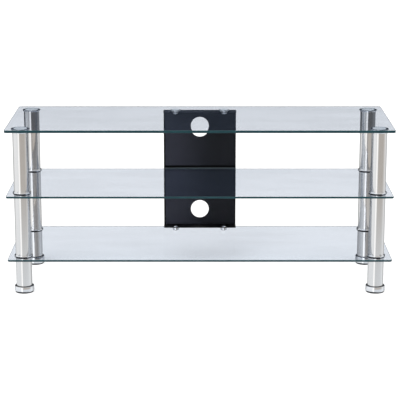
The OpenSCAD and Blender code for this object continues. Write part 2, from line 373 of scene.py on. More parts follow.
@dataclass(frozen=True)
class ClearGlass(Finish):
    """Tempered float glass: clear faces that hold back more light as the view grazes them,
    ground arrises and polished edges with the deep green of iron."""

    tint: Colour = (0.94, 0.964, 1.0)
    shade: Colour = (0.975, 0.985, 0.99)
    veil: Colour = (0.02, 0.03, 0.05)
    edge: Colour = (0.009, 0.036, 0.044)
    arris: Colour = (0.035, 0.085, 0.095)
    streaked: float = 1.7
    glow: float = 4.0
    glow_share: float = 0.5
    grazing_veil: float = 0.8
    straight_veil: float = 0.02
    veil_power: float = 3.0
    uneven: Pair = (0.96, 1.05)
    bend: float = 1.52
    face: Pair = (0.78, 0.92)
    bevel: Pair = (0.3, 0.6)
    smear_stretch: Triple = (3.0, 9.0, 9.0)
    smear_size: float = 1.3
    streak_stretch: Triple = (40.0, 40.0, 900.0)
    face_roughness: float = 0.03
    smear_roughness: float = 0.06
    edge_roughness: float = 0.08
    ground_roughness: float = 0.35
    edge_gloss: float = 0.25

    def shader(self, graph: Graph) -> Node:
        """Clear faces and tinted edges.

        The share of the light that a face holds back is v + (w - v) g^p, where v is the share
        seen straight on, w the share at a grazing view, g is 1 minus the cosine of the angle
        of view and p the power. Edges are told from faces by the upright part of the normal,
        and seen from within they glow a little. Only the side that a ray meets first holds
        light back. What lights matte surfaces passes straight through.

        Args:
            graph: the material's graph.

        Returns:
            The shader node.
        """
        upright = abs(graph.upward())
        side = upright.fade(*self.face)
        ground = side * upright.ease(*self.bevel)
        outer = 1.0 - graph.term("NewGeometry", output="Backfacing")
        facing = graph.term("LayerWeight", {"Blend": 0.5}, output="Facing")
        smear = graph.noise(graph.place(self.smear_stretch), self.smear_size, 4.0)
        rise = self.grazing_veil - self.straight_veil
        held = self.straight_veil + rise * facing**self.veil_power
        through = {"Color": graph.tone(self.tint), "Roughness": 0.0, "IOR": self.bend}
        clear = graph.add("BsdfRefraction", through)
        rough = self.face_roughness + self.smear_roughness * smear
        gloss = graph.coat(self.veil, rough, bend=self.bend)
        sheet = graph.blend(held * outer * smear.ease(*MOTTLE, *self.uneven), clear, gloss)
        streak = graph.noise(graph.place(self.streak_stretch), 1.0, 3.0)
        green = graph.mottled(streak, MOTTLE, self.edge, high=self.streaked)
        green = graph.mixed(outer, scaled(self.edge, self.glow), green)
        tone = graph.mixed(ground, green, self.arris)
        rough = self.edge_roughness + self.ground_roughness * ground
        rim = graph.coat(tone, rough, gloss=self.edge_gloss, bend=self.bend)
        solid = graph.blend(side * outer.ease(0.0, 1.0, self.glow_share, 1.0), sheet, rim)
        lamp_or_soft = (graph.ray("Is Shadow Ray") + graph.ray("Is Diffuse Ray")).at_most(1.0)
        passing = graph.add("BsdfTransparent", {"Color": graph.tone(self.shade)})
        return graph.blend(lamp_or_soft, solid, passing)


@dataclass(frozen=True)
class Metal(Finish):
    """Metal with a fine grain, polishing lines or crystals, and a few soft smears."""

    tint: Colour = (0.8, 0.79, 0.78)
    roughness: float = 0.1
    grain_scale: Triple = (900.0, 900.0, 12.0)
    grain_bump: Pair = (0.15, 1e-5)
    grain_reach: Pair = (0.25, 0.75)
    grain_detail: float = 3.0
    dull: float = 0.95
    smear_size: float = 22.0
    smear_reach: Pair = (0.45, 0.75)
    even_spread: float = 0.75
    grain_spread: float = 0.3
    smear_spread: float = 0.35

    def shader(self, graph: Graph) -> Node:
        """Metal whose roughness and tone follow the grain.

        Args:
            graph: the material's graph.

        Returns:
            The shader node.
        """
        grain = graph.noise(graph.place(self.grain_scale), 1.0, self.grain_detail)
        smears = graph.noise(graph.place(), self.smear_size, 4.0).ease(*self.smear_reach)
        spread = self.even_spread + self.grain_spread * grain + self.smear_spread * smears
        tone = graph.mottled(grain, self.grain_reach, self.tint, low=self.dull)
        bumps = graph.bump(grain, *self.grain_bump)
        return graph.coat(tone, self.roughness * spread, bumps, metal=1.0)


@dataclass(frozen=True)
class BondedMetal(Metal):
    """Bright metal whose flat top is blasted matte, where it is bonded under glass."""

    blasted: Colour = (0.9, 0.94, 0.96)
    sides: float = 0.0
    flat: Pair = (0.97, 0.99)
    grit_size: float = 900.0
    grit_shade: float = 0.85
    matte_roughness: float = 0.5
    grit_roughness: float = 0.1

    def shader(self, graph: Graph) -> Node:
        """A pale matte top, told by the upward part of the normal, and polished sides that may
        be partly blasted too.

        Args:
            graph: the material's graph.

        Returns:
            The shader node.
        """
        grit = graph.noise(graph.place(), self.grit_size, 3.0)
        tone = graph.mottled(grit, MOTTLE, self.blasted, low=self.grit_shade)
        matte = graph.coat(tone, self.matte_roughness + self.grit_roughness * grit)
        top = graph.upward().ease(*self.flat, self.sides, 1.0)
        return graph.blend(top, super().shader(graph), matte)


@dataclass(frozen=True)
class DarkRimMetal(BondedMetal):
    """Bonded metal with a dark ring round its rim, a painted dark reflection, on pieces that
    stand in pairs or fours about the middle of the stand. Lengths in metres."""

    axis: Pair = (0.0, 0.0)
    ring_r: float = 0.0
    soft: float = 0.0004
    facing_up: Pair = (0.8, 0.9)
    # painted dark reflection: a dark ring on the rim, standing in for the dark room mirrored
    # at its ends
    painted_rim_reflection: Colour = (0.02, 0.025, 0.03)
    rim_mottle_size: float = 600.0
    rim_mottle_gain: float = 2.0

    def shader(self, graph: Graph) -> Node:
        """Bonded metal, but a painted dark reflection where a surface faces up further than
        ring_r from its axis.

        Args:
            graph: the material's graph.

        Returns:
            The shader node.
        """
        place = graph.place()
        across, deep = (
            abs(graph.axis(place, letter)) - middle for letter, middle in zip("XY", self.axis)
        )
        reach = (across * across + deep * deep) ** 0.5
        outside = reach.ease(self.ring_r - self.soft, self.ring_r)
        rim_mottle = graph.noise(place, self.rim_mottle_size)
        tone = graph.mixed(rim_mottle, self.painted_rim_reflection, scaled(self.painted_rim_reflection, self.rim_mottle_gain))
        painted_rim_reflection = graph.coat(tone, self.matte_roughness + self.grit_roughness * rim_mottle)
        # painted dark reflection on the part of the rim that faces up
        painted_rim_share = outside * graph.upward().ease(*self.facing_up)
        return graph.blend(painted_rim_share, super().shader(graph), painted_rim_reflection)


@dataclass(frozen=True)
class PowderCoat(Finish):
    """Satin black powder coat with its slight orange peel, a painted sheen towards its left
    and painted shade on its left hem and lower flange. Lengths in metres.
    """

    tint: Colour = (0.0066, 0.0077, 0.0118)
    # painted sheen: a paler tone towards the left, standing in for light falling from the left
    painted_sheen: Colour = (0.028, 0.03, 0.045)
    # painted shade on the left hem and on the lower flange
    shadow: Colour = (0.001, 0.001, 0.0015)
    half_width: float = 0.12
    painted_sheen_to: float = 0.06
    hem: float = 0.006
    flange_top: float = 0.128
    soft: float = 0.001
    cloud_size: float = 9.0
    cloud_reach: Pair = (0.2, 0.8)
    cloud_gain: Pair = (0.8, 1.1)
    roughness: float = 0.4
    cloud_roughness: float = 0.08
    peel_roughness: float = 0.06
    peel_size: float = 700.0
    peel_bump: Pair = (0.25, 4e-5)
    gloss: float = 0.22

    def shader(self, graph: Graph) -> Node:
        """Black paint with a peel of millimetre bumps, a painted sheen that makes it paler to
        the left, and painted shade that makes it blackest along its left hem and on its lower
        flange.

        Args:
            graph: the material's graph.

        Returns:
            The shader node.
        """
        place = graph.place()
        peel = graph.noise(place, self.peel_size)
        cloud = graph.noise(place, self.cloud_size)
        along, height = graph.axis(place, "X"), graph.axis(place, "Z")
        hem = self.hem - self.half_width
        # lit is 0 on the left hem and the lower flange, where shade is painted
        lit = along.ease(hem - self.soft, hem)
        lit = lit * height.ease(self.flange_top - self.soft, self.flange_top)
        # painted sheen, strongest at the left end and fading out to the right
        sheen_share = along.fade(-self.half_width, self.painted_sheen_to)
        sheen_share = sheen_share * cloud.ease(*self.cloud_reach, *self.cloud_gain)
        rough = self.roughness + self.cloud_roughness * cloud + self.peel_roughness * peel
        tone = graph.mixed(lit, self.shadow, graph.mixed(sheen_share, self.tint, self.painted_sheen))
        return graph.coat(tone, rough, graph.bump(peel, *self.peel_bump), gloss=self.gloss)


@dataclass(frozen=True)
class SoftBlack(Finish):
    """Black rubber or nylon with a fine grain and a little bloom."""

    tint: Colour = (0.004, 0.005, 0.006)
    roughness: float = 0.7
    grain_size: float = 1500.0
    gloss: float = 0.25
    grain_bump: Pair = (0.3, 4e-5)
    bloom_size: float = 60.0
    bloom_reach: Pair = (0.35, 0.75)
    bloom_gain: float = 2.0
    bloom_polish: float = 0.1

    def shader(self, graph: Graph) -> Node:
        """Matte black with grain in its normal and bloom in its tone.

        Args:
            graph: the material's graph.

        Returns:
            The shader node.
        """
        grain = graph.noise(graph.place(), self.grain_size)
        bloom = graph.noise(graph.place(), self.bloom_size, 4.0)
        tone = graph.mottled(bloom, self.bloom_reach, self.tint, high=self.bloom_gain)
        rough = self.roughness - self.bloom_polish * bloom
        return graph.coat(tone, rough, graph.bump(grain, *self.grain_bump), gloss=self.gloss)


@dataclass(frozen=True)
class StripRubber(SoftBlack):
    """Black rubber with a painted highlight: a grey band along the foot of the strip, where
    the glass bears on it. Heights in metres."""

    # painted highlight: the light line where the glass's back edge meets the strip
    painted_edge_highlight: Colour = (0.045, 0.05, 0.055)
    low: float = 0.3175
    high: float = 0.3215
    soft: float = 0.0005
    highlight_mottle_size: float = 400.0
    highlight_mottle_shade: float = 0.8

    def shader(self, graph: Graph) -> Node:
        """Matte black with one grey band of painted highlight, told by its height.

        Args:
            graph: the material's graph.

        Returns:
            The shader node.
        """
        place = graph.place()
        height = graph.axis(place, "Z")
        # the band of painted highlight at the foot of the strip
        band = height.ease(self.low - self.soft, self.low)
        band = band * height.fade(self.high, self.high + self.soft)
        highlight_mottle = graph.noise(place, self.highlight_mottle_size, 3.0)
        tone = graph.mottled(highlight_mottle, MOTTLE, self.painted_edge_highlight, low=self.highlight_mottle_shade)
        grey = graph.coat(tone, self.roughness, gloss=self.gloss)
        return graph.blend(band, super().shader(graph), grey)


@dataclass(frozen=True)
class PaleFloor(Finish):
    """A pale floor that the lens sees lifted to white but for the stand's shadow, also through
    the glass, and through which metal behind glass mirrors the room."""

    tone: Colour = (0.72, 0.72, 0.72)
    mottle: float = 0.985
    mottle_size: float = 3.0
    lift: float = 0.41

    def shader(self, graph: Graph) -> Node:
        """Matte paint and an even lift, open to what is mirrored behind glass.

        Args:
            graph: the material's graph.

        Returns:
            The shader node.
        """
        mottle = graph.noise(graph.place(), self.mottle_size, 3.0)
        tone = graph.mixed(mottle, self.tone, scaled(self.tone, self.mottle))
        paint = graph.add("BsdfDiffuse", {"Color": tone})
        through = graph.ray("Is Transmission Ray")
        seen = (graph.ray("Is Camera Ray") + through).at_most(1.0)
        lift = graph.add("Emission", {"Strength": seen * self.lift})
        both = {0: paint.outputs[0], 1: lift.outputs[0]}
        opened = through * graph.ray("Glossy Depth").at_most(1.0)
        lifted = graph.add("AddShader", both)
        return graph.blend(opened, lifted, graph.add("BsdfTransparent"))


CLEAR_GLASS = ClearGlass("clear_float_glass")
TUBE_STEEL = Metal("polished_tube_steel")
CHROME = Metal("bright_chrome", (0.86, 0.87, 0.89), 0.06, (160.0, 160.0, 700.0), (0.15, 5e-6))
BONDED = BondedMetal("bonded_metal", CHROME.tint, CHROME.roughness)
PEARL_CHROME = DarkRimMetal(
    "pearl_chrome", CHROME.tint, CHROME.roughness, sides=0.3, axis=(0.08, 0.162), ring_r=0.0155
)
COLLAR_CHROME = DarkRimMetal(
    "collar_chrome", CHROME.tint, CHROME.roughness, axis=(0.554, 0.164), ring_r=0.0268
)
ZINC = Metal(
    "zinc_plate", (0.6, 0.6, 0.62), 0.3, (650.0, 650.0, 650.0), (0.2, 2e-5), MOTTLE,
    grain_detail=4.0, dull=0.75, even_spread=1.0, grain_spread=0.5, smear_spread=0.0,
)
PAINT = PowderCoat("satin_black_coat")
RUBBER = SoftBlack("black_rubber_looks")
STRIP_RUBBER = StripRubber("black_strip_looks", (0.0015, 0.002, 0.0025), 0.8, gloss=0.05)
NYLON = SoftBlack("black_nylon_looks", (0.006, 0.006, 0.007), 0.35, 900.0, 0.9)
FLOOR = PaleFloor("pale_floor")


# ---- surfaces


@dataclass
class Surface:
    """A surface as arrays: points in millimetres and faces as rows of point numbers."""

    points: Grid
    quads: NDArray[np.int64]
    triangles: NDArray[np.int64]

    def outward(self) -> "Surface":
        """Turns the faces outwards if the volume they close comes out negative.

        The volume is the sum over triangles a, b, c of a . (b x c) / 6.

        Returns:
            The surface with its faces outwards.
        """
        halves = [self.quads[:, [0, 1, 2]], self.quads[:, [0, 2, 3]], self.triangles]
        a, b, c = (self.points[np.concatenate(halves)[:, i]] for i in range(3))
        if np.einsum("ij,ij->", a, np.cross(b, c)) >= 0:
            return self
        return Surface(self.points, self.quads[:, ::-1], self.triangles[:, ::-1])

    def moved(self, to: Sequence[float]) -> "Surface":
        """The same surface shifted by a vector in millimetres."""
        return Surface(self.points + np.asarray(to), self.quads, self.triangles)

    def upside_down(self) -> "Surface":
        """The same surface with its heights negated and its faces still outwards."""
        return Surface(self.points * [1, 1, -1], self.quads[:, ::-1], self.triangles[:, ::-1])

    @staticmethod
    def joined(parts: Sequence["Surface"]) -> "Surface":
        """Several surfaces as one, their point numbers shifted past each other.

        Args:
            parts: the surfaces.

        Returns:
            One surface that holds them all.
        """
        starts = np.cumsum([0] + [len(p.points) for p in parts[:-1]])
        shifted = [(p.points, p.quads + s, p.triangles + s) for p, s in zip(parts, starts)]
        return Surface(*map(np.concatenate, zip(*shifted)))


def rounded(corners: Rows) -> Grid:
    """Rounds the corners of a closed profile.

    With p a corner, a and b the unit vectors from it to its neighbours and h half the angle
    between them, the arc of radius r touches the sides at A = p + t a and B = p + t b, where
    t = r / tan h. Its points are ((1 - s)^2 A + 2 w s (1 - s) p + s^2 B) divided by
    ((1 - s)^2 + 2 w s (1 - s) + s^2), with w = sin h and s from 0 to 1.

    Args:
        corners: rows of radius, height and the radius of the rounding.

    Returns:
        The profile's points in order, with no point twice.
    """
    table = np.asarray(corners, float)
    corner, radius = table[:, :2], table[:, 2]
    before, after = (
        (side - corner) / np.linalg.norm(side - corner, axis=1, keepdims=True)
        for side in (np.roll(corner, 1, axis=0), np.roll(corner, -1, axis=0))
    )
    half = np.arccos(np.clip((before * after).sum(1), -1, 1)) / 2
    reach = (radius / np.tan(half))[:, None]
    start, end = (corner + reach * before)[:, None], (corner + reach * after)[:, None]
    s = np.linspace(0, 1, ARC_STEPS)[None, :, None]
    w = np.sin(half)[:, None, None]
    share = (1 - s) ** 2, 2 * w * s * (1 - s), s**2
    points = share[0] * start + share[1] * corner[:, None] + share[2] * end
    points = (points / sum(share)).reshape(-1, 2)
    fresh = np.linalg.norm(points - np.roll(points, 1, axis=0), axis=1) > SAME_PLACE
    return points[fresh]


def turned(radius: Grid, height: Grid) -> Surface:
    """Carries a closed profile once round the vertical axis.

    Row i and column j of the grid lie at x = r cos a, y = r sin a and z = h, with
    a = 2 pi j / m. A row on the axis is one point, so the faces beside it are triangles, and a
    face between two rows on the axis is left out.

    Args:
        radius: n x m grid of radii, one row for each profile point.
        height: n x m grid of heights.

    Returns:
        The closed surface, its faces outwards.
    """
    rows, columns = radius.shape
    angle = np.arange(columns) * 2 * np.pi / columns
    points = np.stack([radius * np.cos(angle), radius * np.sin(angle), height], axis=-1)
    number = np.arange(rows * columns).reshape(rows, columns)
    pole = radius.max(axis=1) < SAME_PLACE
    number[pole] = number[pole][:, :1]
    lower = np.roll(number, -1, axis=0)
    faces = np.stack(
        [number, np.roll(number, -1, axis=1), np.roll(lower, -1, axis=1), lower], axis=-1
    ).reshape(-1, 4)
    top, bottom = faces[:, 0] == faces[:, 1], faces[:, 2] == faces[:, 3]
    triangles = np.concatenate(
        [faces[top & ~bottom][:, [0, 2, 3]], faces[bottom & ~top][:, [0, 1, 2]]]
    )
    quads = faces[~top & ~bottom]
    used, order = np.unique(
        np.concatenate([quads.ravel(), triangles.ravel()]), return_inverse=True
    )
    return Surface(
        points.reshape(-1, 3)[used],
        order[: quads.size].reshape(-1, 4),
        order[quads.size :].reshape(-1, 3),
    ).outward()


def ring(*corners: Triple) -> Surface:
    """Turns a profile of rounded corners, rows of radius, height and rounding radius."""
    profile = rounded(corners)[:, :, None] * np.ones(COLUMNS)
    return turned(profile[:, 0], profile[:, 1])


def bonded_end(rim: float, flat: float, bore: float, high: float, blind: float) -> Rows:
    """Rows of a profile: sloped rim, flat a bonding gap below its full height, blind bore."""
    top, end, fall = high - GLUE_LINE, high - blind, RIM_SLOPE * (rim - flat)
    return [(rim, top - fall, 0.4), (flat, top, 0), (0, top, 0), (0, end, 0), (bore, end, 0)]


def placed(name: str, data: bpy.types.ID) -> bpy.types.Object:
    """An object that holds this mesh, camera or lamp, linked to the scene.

    Args:
        name: the object's name.
        data: what it holds.

    Returns:
        The new object.
    """
    made = bpy.data.objects.new(name, data)
    bpy.context.scene.collection.objects.link(made)
    return made


def make_piece(name: str, surface: Surface, finish: Finish) -> bpy.types.Object:
    """Puts a surface into a mesh object at the origin, smooth but for its sharp edges.

    Args:
        name: the piece's name.
        surface: its points in millimetres and faces.
        finish: its finish.

    Returns:
        The new object, linked to the scene.
    """
    mesh = bpy.data.meshes.new(name)
    faces = surface.quads.tolist() + surface.triangles.tolist()
    mesh.from_pydata(surface.points * MILLIMETRE, [], faces)
    mesh.shade_smooth()
    mesh.set_sharp_from_angle(angle=math.radians(SHARP_BEND))
    mesh.materials.append(finish.material())
    return placed(name, mesh)


@dataclass
class SubAssembly:
    """A group of pieces that belong together on the stand."""

    frame: Mapping[str, Any]

    def dress(self, node: str, finish: Finish) -> None:
        """Gives a CAD node its finish.

        Args:
            node: the node's name.
            finish: the finish for all its surfaces.
        """
        for slot in self.frame["nodes"][node].material_slots:
            slot.material = finish.material()
        log.info("%s dressed in %s", node, finish.name)

    def stand_in(
        self, node: str, name: str, surface: Surface, finish: Finish, slot: str
    ) -> None:
        """Adds a finer piece that rides where its CAD node rides and is shown instead of it.

        Args:
            node: the CAD node it stands for.
            name: the new piece's name.
            surface: its shape, in place.
            finish: its finish.
            slot: the record's material slot; not used.
        """
        piece = make_piece(name, surface, finish)
        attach(piece, self.frame["nodes"][node]["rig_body"])
        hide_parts(node)
        log.info("%s made for %s, %d points", name, node, len(surface.points))

    @staticmethod
    def seat(node: str) -> tuple[Grid, Grid]:
        """The lowest and highest corners of a CAD node, in millimetres."""
        low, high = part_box(node)
        return np.array(low) / MILLIMETRE, np.array(high) / MILLIMETRE


# ---- the stand


@dataclass
class Shelves(SubAssembly):
    """The three glass shelves and what joins them to the posts. Sizes in millimetres."""

    disc_r: float = 25.0
    flat_r: float = 19.0
    thread_r: float = 4.08
    disc_blind: float = 1.0

    def disc(self, thick: float) -> Surface:
        """A disc on height zero, tapped from below, this thick with its glue."""
        end = bonded_end(self.disc_r, self.flat_r, self.thread_r, thick, self.disc_blind)
        return ring((self.thread_r, 0, 0.2), (self.disc_r, 0, 0.5), *end)

    def build(self) -> None:
        """Dresses glass, gaskets, studs and inserts, and makes the bonded discs."""
        for level in Level:
            self.dress(f"{level.value}_glass", CLEAR_GLASS)
        for level in (Level.MIDDLE, Level.BOTTOM):
            self.dress(f"{level.value}_glass_gaskets", RUBBER)
            self.dress(f"{level.value}_glass_studs", ZINC)
        self.dress("top_studs", ZINC)
        for part in Part:
            self.dress(f"{part.value}_tube_inserts", ZINC)
        low, high = self.seat("bonded_discs")
        disc = self.disc(high[2] - low[2])
        discs = [
            disc.moved((x, y, low[2]))
            for x in (low[0] + self.disc_r, high[0] - self.disc_r)
            for y in (low[1] + self.disc_r, high[1] - self.disc_r)
        ]
        self.stand_in(
            "bonded_discs", "satin_discs", Surface.joined(discs), BONDED, "zinc_plated_steel"
        )


@dataclass
class Post(SubAssembly):
    """One post: three tubes and three chrome collars. Sizes in millimetres."""

    corner: Corner
    bore_r: float = 25.2
    flange_r: float = 29.0
    flange_t: float = 3.8
    neck_r: float = 26.4
    height: float = 6.5
    lip_t: float = 0.9
    undercut: float = 1.3

    def collar(self) -> Surface:
        """A collar on height zero, standing on its rim: undercut wall, flat step, neck."""
        return ring(
            (self.bore_r, 0, 0.3), (self.flange_r - self.undercut, 0, 0.2),
            (self.flange_r, self.flange_t - self.lip_t, 0.2),
            (self.flange_r, self.flange_t, 0.6), (self.neck_r, self.flange_t, 0.3),
            (self.neck_r, self.height, 0.5), (self.bore_r, self.height, 0.2),
        )

    def top_collar(self) -> Surface:
        """A collar hanging below height zero, its sloped rim a glue line under the glass."""
        return ring(
            (self.bore_r, GLUE_LINE, 0.15),
            (self.flange_r, GLUE_LINE + RIM_SLOPE * (self.flange_r - self.bore_r), 0.3),
            (self.flange_r, self.flange_t, 1.4), (self.neck_r, self.flange_t, 0.55),
            (self.neck_r, self.height, 0.5), (self.bore_r, self.height, 0.2),
        ).upside_down()

    def build(self) -> None:
        """Dresses the tubes and makes the collars."""
        name = self.corner.value
        for part in Part:
            self.dress(f"{name}_{part.value}_tube", TUBE_STEEL)
        for level in Level:
            node = f"{name}_{level.value}_collar"
            low, high = self.seat(node)
            middle = (low + high) / 2
            collar, height, finish = self.collar(), low[2], CHROME
            if level is Level.TOP:
                collar, height, finish = self.top_collar(), high[2], COLLAR_CHROME
            collar = collar.moved((middle[0], middle[1], height))
            self.stand_in(node, f"collar_{level.value}_{name}", collar, finish, "chrome")


@dataclass
class LevellingFoot(SubAssembly):
    """One foot: chrome cup, guide ring, levelling screw and pad. Sizes in millimetres."""

    corner: Corner
    stud_r: float = 5.2
    recess_r: float = 9.3
    recess_t: float = 1.8
    base_r: float = 30.5
    base_round: float = 3.8
    mouth_r: float = 30.2
    bore_r: float = 27.2
    floor_t: float = 4.0
    height: float = 18.0
    ring_bore_r: float = 25.3
    ring_r: float = 27.0
    ring_neck: float = 6.0
    ring_lip_r: float = 29.0
    ring_lip_t: float = 1.5

    def cup(self) -> Surface:
        """The cup standing on height zero, with the recess for the screw's head below."""
        return ring(
            (self.stud_r, self.recess_t, 0), (self.recess_r, self.recess_t, 0),
            (self.recess_r, 0, 0.3), (self.base_r, 0, self.base_round),
            (self.mouth_r, self.height, 0.7), (self.bore_r, self.height, 0.3),
            (self.bore_r, self.floor_t, 0.6), (self.stud_r, self.floor_t, 0.3),
        )

    def guide(self) -> Surface:
        """The guide ring with the underside of its lip at height zero."""
        return ring(
            (self.ring_bore_r, -self.ring_neck, 0.2), (self.ring_r, -self.ring_neck, 0.3),
            (self.ring_r, 0, 0), (self.ring_lip_r, 0, 0.2),
            (self.ring_lip_r, self.ring_lip_t, 0.7), (self.ring_bore_r, self.ring_lip_t, 0.3),
        )

    def build(self) -> None:
        """Makes the cup and its ring, and dresses the screw and the pad."""
        name = self.corner.value
        node = f"{name}_foot_cup"
        low, high = self.seat(node)
        x, y, _ = (low + high) / 2
        self.stand_in(node, f"cup_{name}", self.cup().moved((x, y, low[2])), CHROME, "chrome")
        guide = self.guide().moved((x, y, high[2]))
        self.stand_in(f"{name}_foot_ring", f"guide_ring_{name}", guide, NYLON, "black_nylon")
        self.dress(f"{name}_foot_screw", ZINC)
        self.dress(f"{name}_foot_pad", RUBBER)


@dataclass
class CablePanel(SubAssembly):
    """The folded panel with its bosses, screws and rubber strip. Sizes in millimetres."""

    span: float = 160.0
    bore_r: float = 3.08
    upper_h: float = 8.0
    upper_r: float = 17.5
    upper_flat_r: float = 11.0
    rim_t: float = 4.0
    upper_neck_r: float = 12.5
    cove_r: float = 2.99
    lower_h: float = 10.0
    lower_r: float = 10.5
    blind: float = 1.0
    shank_r: float = 3.0
    shank_gap: float = 0.2
    point: float = 0.5
    panel_t: float = 1.5
    upper_head_r: float = 11.5
    upper_head_h: float = 7.5
    lower_head_r: float = 7.5
    lower_head_h: float = 3.2
    head_edge: float = 0.06
    socket: float = 4.6
    socket_depth: float = 1.6
    socket_point: float = 0.3
    crease: float = 0.05
    columns: int = 96
    dome_rows: int = 16

    def upper_boss(self) -> Surface:
        """A boss whose bonded rim is up: neck, cove, rim sloped round a flat top."""
        rim = self.upper_h - self.rim_t
        return ring(
            (self.bore_r, 0, 0.2), (self.upper_neck_r, 0, 0.4),
            (self.upper_neck_r, rim, self.cove_r), (self.upper_r, rim, 0.8),
            *bonded_end(
                self.upper_r, self.upper_flat_r, self.bore_r, self.upper_h, self.blind
            ),
        )

    def lower_boss(self) -> Surface:
        """A plain drum that stands on height zero, tapped from above."""
        return ring(
            (0, GLUE_LINE, 0), (self.lower_r, GLUE_LINE, 2.0),
            (self.lower_r, self.lower_h, 0.8), (self.bore_r, self.lower_h, 0.3),
            (self.bore_r, self.blind, 0), (0, self.blind, 0),
        )

    def screw(self, boss_h: float, head_r: float, head_h: float) -> Surface:
        """A round-headed screw, its head up from height zero and its shank down.

        The dome lies at h(r) = sqrt(R^2 - r^2) - (R - H), with R = (e^2 + H^2) / 2H for a head
        of radius e and height H. The socket's wall stands at a / cos((t + 30 mod 60) - 30)
        degrees from the axis, t being the angle round it and a half the width across flats.

        Args:
            boss_h: height of the boss that the shank goes into.
            head_r: radius of the head.
            head_h: height of the head.

        Returns:
            The closed surface.
        """
        ones = np.ones(self.columns)
        turn = np.degrees(np.arange(self.columns) * 2 * np.pi / self.columns)
        half_width = self.socket * math.cos(math.radians(30)) / 2
        flats = half_width / np.cos(np.radians((turn + 30) % 60 - 30))
        dome_r = (head_r**2 + head_h**2) / (2 * head_h)
        sink = head_h - self.socket_depth
        share = np.sin(np.linspace(0, np.pi / 2, self.dome_rows))[1:, None]
        reach = flats + (head_r - self.crease - flats) * share
        dome, rim = (np.sqrt(dome_r**2 - r**2) - (dome_r - head_h) for r in (reach, flats))
        shank = self.panel_t + boss_h - self.blind - self.shank_gap
        head = [(head_r, self.head_edge), (head_r - 2 * self.crease, 0), (self.shank_r, 0)]
        tip = [(self.shank_r, self.point - shank), (self.shank_r - self.point, -shank)]
        below = np.array(head + tip + [(0, -shank)])[:, :, None] * ones
        floor = [(sink - self.socket_point) * ones, sink * ones, (sink + self.crease) * ones]
        radius = np.concatenate(
            [[0 * ones, flats - self.crease, flats, flats], reach, below[:, 0]]
        )
        return turned(radius, np.concatenate([[*floor, rim], dome, below[:, 1]]))

    def pair(self, surface: Surface, depth: float, height: float) -> Surface:
        """Two copies of a surface at this depth and height, half the span to each side."""
        half = self.span / 2
        return Surface.joined([surface.moved((x, depth, height)) for x in (-half, half)])

    def build(self) -> None:
        """Dresses the panel and the strip, and makes the bosses and screws."""
        self.dress("cable_panel", PAINT)
        self.dress("glass_strip", STRIP_RUBBER)
        upper, _ = self.seat("upper_bosses")
        lower, top = self.seat("lower_bosses")
        depth = (lower[1] + top[1]) / 2
        upper_screw = self.screw(self.upper_h, self.upper_head_r, self.upper_head_h)
        lower_screw = self.screw(self.lower_h, self.lower_head_r, self.lower_head_h)
        under, over = upper[2] - self.panel_t, top[2] + self.panel_t
        sets = (
            ("upper_bosses", self.upper_boss(), upper[2], PEARL_CHROME),
            ("lower_bosses", self.lower_boss(), lower[2], CHROME),
            ("upper_screws", upper_screw.upside_down(), under, PEARL_CHROME),
            ("lower_screws", lower_screw, over, CHROME),
        )
        for node, surface, height, finish in sets:
            both = self.pair(surface, depth, height)
            self.stand_in(node, f"turned_{node}", both, finish, "chrome")


# ---- the studio


